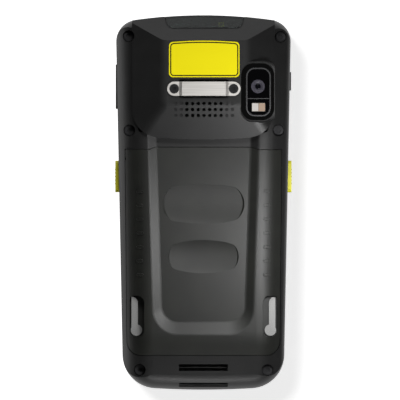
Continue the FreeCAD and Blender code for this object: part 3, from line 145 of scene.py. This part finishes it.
mouldedLooks = {
    # case and cover: near black with a matt grain, so the light lies on it as a wide soft sheen
    "texturedPolycarbonate": {"dark": "#0a0a0a", "light": "#101010", "roughness": 0.46,
                              "grain": 0.55, "depth": 0.012},
    # battery lid: the same grain in a slightly warmer, greener batch, a shade lighter
    "satinPolycarbonate": {"dark": "#0f100d", "light": "#151612", "roughness": 0.46,
                           "grain": 0.55, "depth": 0.012},
    # small black inner parts: duller and a little rougher than the case
    "blackNylon": {"dark": "#0c0c0c", "light": "#121212", "roughness": 0.5,
                   "grain": 0.7, "depth": 0.015},
    # keys and seals: soft and matt, with hardly any highlight
    "siliconeRubber": {"dark": "#141414", "light": "#1a1a1a", "roughness": 0.65, "specular": 0.35,
                       "grain": 0.4, "depth": 0.01},
    # scan keys: coloured through, matt, a greenish yellow
    "yellowRubber": {"dark": "#b9b414", "light": "#d2cd22", "roughness": 0.5,
                     "grain": 0.4, "depth": 0.01},
    # switch bodies: mid grey, satin
    "switchNylon": {"dark": "#3a3a3a", "light": "#484848", "roughness": 0.5,
                    "grain": 0.6, "depth": 0.01},
    # shrunk film round the cell: dark, smooth, with slow wrinkles that break its gloss
    "batteryFilm": {"dark": "#1d1e20", "light": "#26272a", "roughness": 0.3,
                    "grain": 5.0, "depth": 0.03},
}

metalLooks = {
    # strap bar: belt-brushed along its length, bright and warm grey
    "brushedStainless": {"dark": "#c4c1bd", "light": "#d6d3cf", "roughness": 0.6,
                         "stretch": (0.02, 1, 1), "grain": 0.5, "depth": 0.003},
    # latches and pins: bead-blasted, an even mid grey with no direction to its sheen
    "blastedSteel": {"dark": "#828281", "light": "#999998", "roughness": 0.58,
                     "stretch": (1, 1, 1), "grain": 0.25, "depth": 0.004},
    # cans and brackets: rolled tinned steel, bright, with faint lines along the strip
    "tinPlate": {"dark": "#a8a9aa", "light": "#c8c9ca", "roughness": 0.3,
                 "stretch": (1, 0.2, 1), "grain": 0.5, "depth": 0.01},
    # inner frame: die-cast, a dull grey with a coarse skin
    "castMagnesium": {"dark": "#8c8c8a", "light": "#a2a2a0", "roughness": 0.5,
                      "stretch": (1, 1, 1), "grain": 0.8, "depth": 0.03},
    # contacts: plated, a clear yellow gleam
    "goldPlate": {"dark": "#c59a3c", "light": "#e0b95c", "roughness": 0.22,
                  "stretch": (1, 1, 1), "grain": 0.5, "depth": 0.01},
    # screws: black zinc plating, dark with a dull metal edge
    "blackZinc": {"dark": "#2b2b2c", "light": "#3a3a3b", "roughness": 0.55,
                  "stretch": (1, 1, 1), "grain": 0.3, "depth": 0.01},
    # rings of the camera: turned and anodised aluminium, a thin bright line round black
    "anodisedTrim": {"dark": "#9a9a9c", "light": "#b4b4b6", "roughness": 0.25,
                     "stretch": (1, 1, 1), "grain": 0.3, "depth": 0.006},
}

glossLooks = {
    # boards: lacquered green, half gloss
    "solderMask": {"Base Color": "#0d3f22", "Roughness": 0.35},
    # front glass and display: black, mirror smooth
    "coverGlass": {"Base Color": "#030304", "Roughness": 0.04, "Coat Weight": 0.5},
    # camera window: glass printed black from behind
    "cameraGlassInk": {"Base Color": "#020203", "Roughness": 0.05},
    # camera bezel: polished black moulding
    "glossAbs": {"Base Color": "#060606", "Roughness": 0.12},
    # lens barrels: a violet-grey coating under a clear one
    "coatedLens": {"Base Color": "#45434d", "Roughness": 0.2, "Coat Weight": 0.5},
    # front element: all but black, because the coating takes most of its reflection away
    "lensGlass": {"Base Color": "#08080d", "Roughness": 0.12, "Specular IOR Level": 0.15},
    # flash: clear silicone over a pale base, seen as a warm grey
    "flashSilicone": {"Base Color": "#6f6962", "Roughness": 0.25},
    # flash dice: phosphor, one nearly white and one tan
    "coolPhosphor": {"Base Color": "#bdb8b4", "Roughness": 0.3},
    "warmPhosphor": {"Base Color": "#a08a78", "Roughness": 0.3},
    # aimer's lens: dyed yellow, seen as a glint through the scan window
    "aimerAcrylic": {"Base Color": "#f0ea2a", "Roughness": 0.1},
    # light pipe and lamp lens: clear, slightly grey
    "clearAcrylic": {"Base Color": "#dfe4e2", "Roughness": 0.05, "Transmission Weight": 0.8},
    # scan window: smoked and coated, so that it shows the dark engine and little glare
    "windowAcrylic": {"Base Color": "#74807d", "Roughness": 0.03, "Transmission Weight": 0.98,
                      "Specular IOR Level": 0.12},
}

finish = {name: mouldedPlastic(name, look) for name, look in mouldedLooks.items()}
finish.update({name: brushedMetal(name, look) for name, look in metalLooks.items()})
finish.update({name: plainGloss(name, look) for name, look in glossLooks.items()})
print("common finishes made:", len(finish))

# Yellow plate: screen-printed polyester, flat bright ink with one thin dark line set in from its edge
yellowPlate = {"fill": "#efe103", "line": "#15130a", "roughness": 0.3, "grain": 2.5, "depth": 0.006,
               "inset": 0.72, "width": 0.5, "corner": 1.3, "bow": 165}


def roundedFrame(tree, box, look):
    # Distance in metres from a rounded rectangle set in from a node's box, positive outside it.
    # Its top edge is an arc: what lies above the middle is measured from that arc.
    low, high = box
    half = (high - low) / 2
    inward = (look["inset"] + look["corner"]) * mm
    place = addNode(tree, "TexCoord").outputs["Object"]
    centred = addNode(tree, "Mapping", {"Location": -(low + high) / 2}, Vector=place)
    parts = addNode(tree, "SeparateXYZ", None, _0=centred.outputs[0])
    square = addNode(tree, "Math", {"operation": "MULTIPLY"},
                     _0=parts.outputs[0], _1=parts.outputs[0])
    raised = addNode(tree, "Math", {"operation": "MULTIPLY_ADD", 1: 1 / (2 * look["bow"] * mm)},
                     _0=square.outputs[0], _2=parts.outputs[1])
    lowered = addNode(tree, "Math", {"operation": "MULTIPLY", 1: -1}, _0=parts.outputs[1])
    upDown = addNode(tree, "Math", {"operation": "MAXIMUM"},
                     _0=raised.outputs[0], _1=lowered.outputs[0])
    bowed = addNode(tree, "CombineXYZ", None, _0=parts.outputs[0], _1=upDown.outputs[0])
    folded = addNode(tree, "VectorMath", {"operation": "ABSOLUTE"}, _0=bowed.outputs[0])
    core = (half.x - inward, half.y - inward, 1)
    outside = addNode(tree, "VectorMath", {"operation": "SUBTRACT", 1: core}, _0=folded.outputs[0])
    kept = addNode(tree, "VectorMath", {"operation": "MAXIMUM", 1: (0, 0, 0)}, _0=outside.outputs[0])
    length = addNode(tree, "VectorMath", {"operation": "LENGTH"}, _0=kept.outputs[0])
    away = addNode(tree, "Math", {"operation": "SUBTRACT", 1: look["corner"] * mm},
                   _0=length.outputs["Value"])
    return away.outputs[0]


def printedPolyester(name, look, box):
    material, tree, shader = newMaterial(name, {"Roughness": look["roughness"], "IOR": plasticIor})
    offLine = addNode(tree, "Math", {"operation": "ABSOLUTE"}, _0=roundedFrame(tree, box, look))
    onLine = addNode(tree, "Math", {"operation": "LESS_THAN", 1: look["width"] * mm / 2},
                     _0=offLine.outputs[0])
    ink = addNode(tree, "Mix", {  # its colour sockets: 6 off the line, 7 on it, and output 2
        "data_type": "RGBA", 6: toLinear(look["fill"]), 7: toLinear(look["line"]),
    }, _0=onLine.outputs[0])
    tree.links.new(ink.outputs[2], shader.inputs["Base Color"])
    reliefOn(tree, shader, grainAt(tree, look["grain"], 2), look["depth"])
    return material


finish["labelFilm"] = printedPolyester("labelFilm", yellowPlate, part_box("label_plate"))

dressing = {
    "texturedPolycarbonate": ["rear_housing", "front_housing", "scanner_cover"],
    "satinPolycarbonate": ["battery_lid"],
    "blackNylon": ["earpiece", "front_camera", "microphone", "scan_engine", "aimer_barrel",
                   "camera_module", "speaker", "speaker_mesh", "dock_contacts"],
    "siliconeRubber": ["housing_seal", "window_gasket", "battery_pad", "front_key_left",
                       "front_key_middle", "front_key_right", "power_key", "volume_rocker"],
    "yellowRubber": ["scan_key_left", "scan_key_right"],
    "switchNylon": ["scan_switches", "power_switch", "volume_switches"],
    "batteryFilm": ["battery"],
    "brushedStainless": ["strap_bar"],
    "blastedSteel": ["latch_left", "latch_right", "latch_pins", "hinge_pins"],
    "tinPlate": ["shield_cans", "card_holder", "vibration_motor", "engine_bracket", "usb_port"],
    "castMagnesium": ["midframe"],
    "goldPlate": ["battery_contacts"],
    "blackZinc": ["strap_screws", "housing_screws"],
    "anodisedTrim": ["camera_ring"],
    "solderMask": ["main_board", "keypad_board"],
    "coverGlass": ["touch_glass", "display_module"],
    "cameraGlassInk": ["camera_glass"],
    "glossAbs": ["camera_bezel"],
    "coatedLens": ["camera_lens", "scan_lens"],
    "flashSilicone": ["flash_led"],
    "aimerAcrylic": ["aimer_lens"],
    "clearAcrylic": ["status_light_pipe", "illumination_led"],
    "windowAcrylic": ["scan_window"],
    "labelFilm": ["label_plate"],
}
for finishName, nodeNames in dressing.items():
    for nodeName in nodeNames:
        mesh = nodes[nodeName].data
        mesh.materials.clear()
        mesh.materials.append(finish[finishName])
print("nodes without a finish:", sorted(set(nodes) - set(sum(dressing.values(), []))))


# Fine pieces

weldMm = 0.001


def newPiece(name, build, material, body, smooth=False):
    bmesh.ops.remove_doubles(build, verts=build.verts, dist=weldMm * mm)
    bmesh.ops.recalc_face_normals(build, faces=build.faces)
    mesh = bpy.data.meshes.new(name)
    build.to_mesh(mesh)
    build.free()
    mesh.materials.append(material)
    mesh.polygons.foreach_set("use_smooth", [smooth] * len(mesh.polygons))
    piece = bpy.data.objects.new(name, mesh)
    bpy.context.scene.collection.objects.link(piece)
    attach(piece, body)


def addBlock(build, low, high, roundMm):
    # A box between two corners, with rounded edges.
    verts = bmesh.ops.create_cube(build, size=1)["verts"]
    bmesh.ops.scale(build, vec=(Vector(high) - Vector(low)) * mm, verts=verts)
    bmesh.ops.translate(build, vec=(Vector(high) + Vector(low)) / 2 * mm, verts=verts)
    edges = list({edge for vert in verts for edge in vert.link_edges})
    bmesh.ops.bevel(build, geom=edges, offset=roundMm * mm, affect="EDGES", segments=2,
                    profile=0.5, material=-1)


def addSpin(build, centre, outline, steps):
    # The outline's (radius, height) points turn about an upright axis through the centre.
    # The last point joins up with the first one unless the outline starts on the axis.
    verts = [build.verts.new(((centre[0] + radius) * mm, centre[1] * mm, height * mm))
             for radius, height in outline]
    pairs = list(zip(verts, verts[1:]))
    if outline[0][0] > 0:
        pairs.append((verts[-1], verts[0]))
    edges = [build.edges.new(pair) for pair in pairs]
    bmesh.ops.spin(build, geom=verts + edges, cent=(centre[0] * mm, centre[1] * mm, 0),
                   axis=(0, 0, 1), dvec=(0, 0, 0), angle=2 * math.pi, steps=steps,
                   use_merge=True, use_duplicate=False)


def addRing(build, centre, level, look):
    # A flat ring whose foot and top are measured from the level.
    foot, top = level + look["foot"], level + look["top"]
    addSpin(build, centre, [(look["inner"], foot), (look["inner"], top),
                            (look["outer"], top), (look["outer"], foot)], look["steps"])


def topOf(name):
    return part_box(name)[1].z / mm


def skinOf(name):
    mesh = nodes[name].data
    return BVHTree.FromPolygons([vert.co for vert in mesh.vertices],
                                [face.vertices for face in mesh.polygons])


def heightOn(skin, x, y):
    # Height of the first surface met from above.
    return skin.ray_cast(Vector((x * mm, y * mm, 1)), Vector((0, 0, -1)))[0].z / mm


# Camera: the lens's domed front element and a fine ring on its barrel, measured from the barrel's top
lensCentre = (23.0, 48.9)
lensDome = {"radius": 1.15, "edge": -0.55, "rise": 0.15, "foot": -0.75, "rows": 8, "steps": 40}
lensRing = {"inner": 2.3, "outer": 2.42, "foot": -0.1, "top": 0.04, "steps": 56}
barrelTop = topOf("camera_lens")
outline = []
for row in range(lensDome["rows"] + 1):
    turn = math.pi / 2 * row / lensDome["rows"]
    outline.append((lensDome["radius"] * math.sin(turn),
                    barrelTop + lensDome["edge"] + lensDome["rise"] * math.cos(turn)))
outline.append((lensDome["radius"], barrelTop + lensDome["foot"]))
outline.append((0, barrelTop + lensDome["foot"]))
build = bmesh.new()
addSpin(build, lensCentre, outline, lensDome["steps"])
newPiece("lensDome", build, finish["lensGlass"], "root", True)
build = bmesh.new()
addRing(build, lensCentre, barrelTop, lensRing)
newPiece("lensRing", build, finish["anodisedTrim"], "root")

# Flash: two dice, set in the pale silicone and measured from its top
flashDie = {"coolX": (20.5, 23.15), "warmX": (23.3, 25.95), "y": (38.5, 41.8),
            "foot": -0.1, "top": 0.06, "round": 0.05}
flashTop = topOf("flash_led")
for name, span, phosphor in (("flashDieCool", flashDie["coolX"], "coolPhosphor"),
                             ("flashDieWarm", flashDie["warmX"], "warmPhosphor")):
    build = bmesh.new()
    addBlock(build, (span[0], flashDie["y"][0], flashTop + flashDie["foot"]),
             (span[1], flashDie["y"][1], flashTop + flashDie["top"]), flashDie["round"])
    newPiece(name, build, finish[phosphor], "root")

# Lid: a fine raised rim round each grip bump, in a row down either side of the trough
bumpRim = {"x": 26.9, "top": 4.7, "pitch": 5.87, "count": 7, "halfX": 1.45, "halfY": 0.6,
           "foot": 0.11, "crown": 0.066, "sink": 0.08, "rise": 0.14, "steps": 28}
lidSkin = skinOf("battery_lid")


def addRim(build, centreX, centreY):
    # A round ring of radius 1, whose points then move out to the oval and down onto the lid's skin.
    before = set(build.verts)
    foot, crown = bumpRim["foot"], bumpRim["crown"]
    addSpin(build, (0, 0), [(1 + foot, -bumpRim["sink"]), (1 + crown, bumpRim["rise"]),
                            (1 - crown, bumpRim["rise"]), (1 - foot, -bumpRim["sink"])],
            bumpRim["steps"])
    for vert in set(build.verts) - before:
        away = vert.co.xy.length
        beyond = away / mm - 1
        x = centreX + (bumpRim["halfX"] + beyond) * vert.co.x / away
        y = centreY + (bumpRim["halfY"] + beyond) * vert.co.y / away
        vert.co = (x * mm, y * mm, heightOn(lidSkin, x, y) * mm + vert.co.z)


build = bmesh.new()
for side in (-1, 1):
    for i in range(bumpRim["count"]):
        addRim(build, side * bumpRim["x"], bumpRim["top"] - i * bumpRim["pitch"])
newPiece("bumpRims", build, finish["satinPolycarbonate"], "lid", True)

# Latches: the peened head of the pivot pin shows as a fine ring
latchRivet = {"x": 28.3, "y": -53.9, "inner": 0.55, "outer": 0.8, "foot": -0.1, "top": 0.05,
              "steps": 40}
latchTop = topOf("latch_right")
for name, side, body in (("latchRivetLeft", -1, "latch_lever_left"),
                         ("latchRivetRight", 1, "latch_lever_right")):
    build = bmesh.new()
    addRing(build, (side * latchRivet["x"], latchRivet["y"]), latchTop, latchRivet)
    newPiece(name, build, finish["blastedSteel"], body)

# Strap slots: a moulded rib across each, sunk below the housing's face beside the slot
slotRib = {"halfX": 10.35, "halfY": 0.22, "height": 1.0, "round": 0.1,
           "upper": {"middle": -69.7, "beside": -67.9, "sunk": 2.2},
           "lower": {"middle": -77.05, "beside": -75.8, "sunk": 1.6}}
housingSkin = skinOf("rear_housing")
for name, place in (("slotRibUpper", slotRib["upper"]), ("slotRibLower", slotRib["lower"])):
    level = heightOn(housingSkin, 0, place["beside"]) - place["sunk"]
    low, high = place["middle"] - slotRib["halfY"], place["middle"] + slotRib["halfY"]
    build = bmesh.new()
    addBlock(build, (-slotRib["halfX"], low, level - slotRib["height"]),
             (slotRib["halfX"], high, level), slotRib["round"])
    newPiece(name, build, finish["texturedPolycarbonate"], "root")

# Scan keys: finger ribs on the outer face
keyRib = {"count": 5, "pitch": 1.5, "halfY": 0.25, "low": 7.9, "high": 9.7, "rise": 0.15,
          "sink": 0.05, "round": 0.06}
for name, side, node, body in (("keyRibsLeft", -1, "scan_key_left", "scan_key_l"),
                               ("keyRibsRight", 1, "scan_key_right", "scan_key_r")):
    low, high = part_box(node)
    face = (low.x if side < 0 else high.x) / mm
    left, right = sorted((face + side * keyRib["rise"], face - side * keyRib["sink"]))
    build = bmesh.new()
    for i in range(keyRib["count"]):
        middle = (low.y + high.y) / 2 / mm + (i - (keyRib["count"] - 1) / 2) * keyRib["pitch"]
        addBlock(build, (left, middle - keyRib["halfY"], keyRib["low"]),
                 (right, middle + keyRib["halfY"], keyRib["high"]), keyRib["round"])
    newPiece(name, build, finish["yellowRubber"], body)

# Socket: the tongue and its four gold pads
tongue = {"half": 3.2, "front": -78.2, "back": -72.95, "low": 4.35, "high": 4.85, "round": 0.1}
tonguePad = {"x": (-2.1, -0.7, 0.7, 2.1), "half": 0.3, "front": -77.9, "back": -75.0,
             "sink": 0.05, "rise": 0.04, "round": 0.02}
build = bmesh.new()
addBlock(build, (-tongue["half"], tongue["front"], tongue["low"]),
         (tongue["half"], tongue["back"], tongue["high"]), tongue["round"])
newPiece("socketTongue", build, finish["blackNylon"], "root")
build = bmesh.new()
for x in tonguePad["x"]:
    addBlock(build, (x - tonguePad["half"], tonguePad["front"], tongue["high"] - tonguePad["sink"]),
             (x + tonguePad["half"], tonguePad["back"], tongue["high"] + tonguePad["rise"]),
             tonguePad["round"])
newPiece("socketPads", build, finish["goldPlate"], "root")

# Dock: a gold cap on each of the spring pins that stand in the black block
dockPin = {"first": 9.9, "pitch": 1.8, "count": 5, "level": 4.6, "radius": 0.56, "tip": 0.46,
           "back": -77.1, "front": -77.94, "sides": 32}
build = bmesh.new()
for i in range(dockPin["count"]):
    cap = bmesh.ops.create_cone(build, cap_ends=True, segments=dockPin["sides"],
                                radius1=dockPin["radius"] * mm, radius2=dockPin["tip"] * mm,
                                depth=(dockPin["back"] - dockPin["front"]) * mm)["verts"]
    middle = Vector((dockPin["first"] + i * dockPin["pitch"],
                     (dockPin["back"] + dockPin["front"]) / 2, dockPin["level"])) * mm
    bmesh.ops.rotate(build, verts=cap, cent=(0, 0, 0), matrix=Matrix.Rotation(math.pi / 2, 3, "X"))
    bmesh.ops.translate(build, verts=cap, vec=middle)
newPiece("dockPins", build, finish["goldPlate"], "root")
print("fine pieces made")

# Floor: a matt white table; what the camera, metal or glass sees of it is lifted to white
floorLook = {"half": 3.0, "drop": 0.0002, "colour": "#f4f4f4", "lift": 0.77}


def makeFloor():
    build = bmesh.new()
    bmesh.ops.create_grid(build, x_segments=1, y_segments=1, size=floorLook["half"])
    mesh = bpy.data.meshes.new("floor")
    build.to_mesh(mesh)
    build.free()
    floor = bpy.data.objects.new("floor", mesh)
    bpy.context.scene.collection.objects.link(floor)
    floor.location.z = -floorLook["drop"]
    material = bpy.data.materials.new("whiteTable")
    material.use_nodes = True
    tree = material.node_tree
    tree.nodes.clear()
    matte = addNode(tree, "BsdfDiffuse", {"Color": toLinear(floorLook["colour"])})
    rays = addNode(tree, "LightPath").outputs
    seen = addNode(tree, "Math", {"operation": "MAXIMUM"},
                   _0=rays["Is Camera Ray"], _1=rays["Is Glossy Ray"])
    lifted = addNode(tree, "Math", {"operation": "MAXIMUM"},
                     _0=seen.outputs[0], _1=rays["Is Transmission Ray"])
    level = addNode(tree, "Math", {"operation": "MULTIPLY", 1: floorLook["lift"]},
                    _0=lifted.outputs[0])
    glow = addNode(tree, "Emission", {"Color": (1, 1, 1, 1)}, Strength=level.outputs[0])
    table = addNode(tree, "AddShader", None, _0=matte.outputs[0], _1=glow.outputs[0])
    # from below the table is clear, so that the front of the object can be looked at
    clear = addNode(tree, "BsdfTransparent")
    underside = addNode(tree, "NewGeometry").outputs["Backfacing"]
    sided = addNode(tree, "MixShader", None, Fac=underside, _1=table.outputs[0], _2=clear.outputs[0])
    addNode(tree, "OutputMaterial", None, Surface=sided.outputs[0])
    mesh.materials.append(material)
    return floor


floor = makeFloor()

# Room: dim, with a pale board low down beyond each end of the object; the camera itself sees white.
# A direction's share along Y brings the board in, from edge to middle; its height takes the board
# away, from low to high.
room = {"dim": 0.05, "board": 0.9, "edge": 0.6, "middle": 0.95, "low": 0.15, "high": 0.6}


def makeWorld():
    world = bpy.data.worlds.new("studio")
    bpy.context.scene.world = world
    world.use_nodes = True
    tree = world.node_tree
    tree.nodes.clear()
    way = addNode(tree, "SeparateXYZ", None, _0=addNode(tree, "TexCoord").outputs["Generated"])
    lengthways = addNode(tree, "Math", {"operation": "ABSOLUTE"}, _0=way.outputs[1])
    across = addNode(tree, "MapRange", {
        "interpolation_type": "SMOOTHSTEP", "From Min": room["edge"], "From Max": room["middle"],
    }, Value=lengthways.outputs[0])
    upward = addNode(tree, "MapRange", {
        "interpolation_type": "SMOOTHSTEP", "From Min": room["high"], "From Max": room["low"],
    }, Value=way.outputs[2])
    board = addNode(tree, "Math", {"operation": "MULTIPLY"},
                    _0=across.outputs[0], _1=upward.outputs[0])
    level = addNode(tree, "Math", {"operation": "MULTIPLY_ADD", 1: room["board"], 2: room["dim"]},
                    _0=board.outputs[0])
    seen = addNode(tree, "Math", {"operation": "MAXIMUM"}, _0=level.outputs[0],
                   _1=addNode(tree, "LightPath").outputs["Is Camera Ray"])
    glow = addNode(tree, "Background", None, Strength=seen.outputs[0])
    addNode(tree, "OutputWorld", None, Surface=glow.outputs[0])


makeWorld()


def lampReach(name, state):
    # EXCLUDE lights everything but the table, INCLUDE lights the table alone.
    reach = bpy.data.collections.new(name)
    reach.objects.link(floor)
    reach.collection_objects[0].light_linking.link_state = state
    return reach


def softbox(name, look, reach):
    lamp = bpy.data.lights.new(name, "AREA")
    lamp.shape = "RECTANGLE"
    lamp.size, lamp.size_y = look["size"]
    lamp.energy = look["power"]
    holder = bpy.data.objects.new(name, lamp)
    bpy.context.scene.collection.objects.link(holder)
    holder.location = look["place"]
    aimed = Vector(look["aim"]) - Vector(look["place"])
    holder.rotation_euler = aimed.to_track_quat("-Z", "Y").to_euler()
    holder.visible_camera = False
    holder.light_linking.receiver_collection = reach


# Lamps on the object: one above its right side, one high beyond the scanner end, one low at the foot
objectLamps = {
    "keySoftbox": {"place": (0.050, -0.016, 0.125), "aim": (0.01, -0.012, 0.02),
                   "size": (0.03, 0.05), "power": 0.125},
    "endSoftbox": {"place": (0.02, 0.35, 0.42), "aim": (0, -0.03, 0.02),
                   "size": (0.25, 0.12), "power": 1.5},
    "footSoftbox": {"place": (0.0, -0.145, 0.075), "aim": (0, -0.075, 0.018),
                    "size": (0.08, 0.02), "power": 0.045},
}
# The table's own lamp gives the soft shadow on the right
tableLamp = {"place": (-0.5, 0.6, 0.9), "aim": (0, 0, 0), "size": (0.5, 0.5), "power": 9.0}

offTable = lampReach("offTable", "EXCLUDE")
tableOnly = lampReach("tableOnly", "INCLUDE")
for lampName, lampLook in objectLamps.items():
    softbox(lampName, lampLook, offTable)
softbox("tableSoftbox", tableLamp, tableOnly)

# Camera: straight above and far off; the object's middle lies at pixel (objectX, objectY) of the
# frame, and pixel is what one pixel covers at the level of the back. The sensor alone is in mm.
view = {"pixel": 0.4224 * mm, "frame": 400, "objectX": 203.4, "objectY": 202.5,
        "distance": 4.0, "level": 0.018, "sensor": 36}
camera = bpy.data.cameras.new("camera")
camera.sensor_width = view["sensor"]
camera.lens = view["sensor"] * view["distance"] / (view["pixel"] * view["frame"])
cameraHolder = bpy.data.objects.new("camera", camera)
bpy.context.scene.collection.objects.link(cameraHolder)
cameraHolder.location = (
    (view["frame"] / 2 - view["objectX"]) * view["pixel"],
    (view["objectY"] - view["frame"] / 2) * view["pixel"],
    view["distance"] + view["level"],
)
bpy.context.scene.camera = cameraHolder
bpy.context.scene.view_settings.view_transform = "Standard"
print("stage ready")
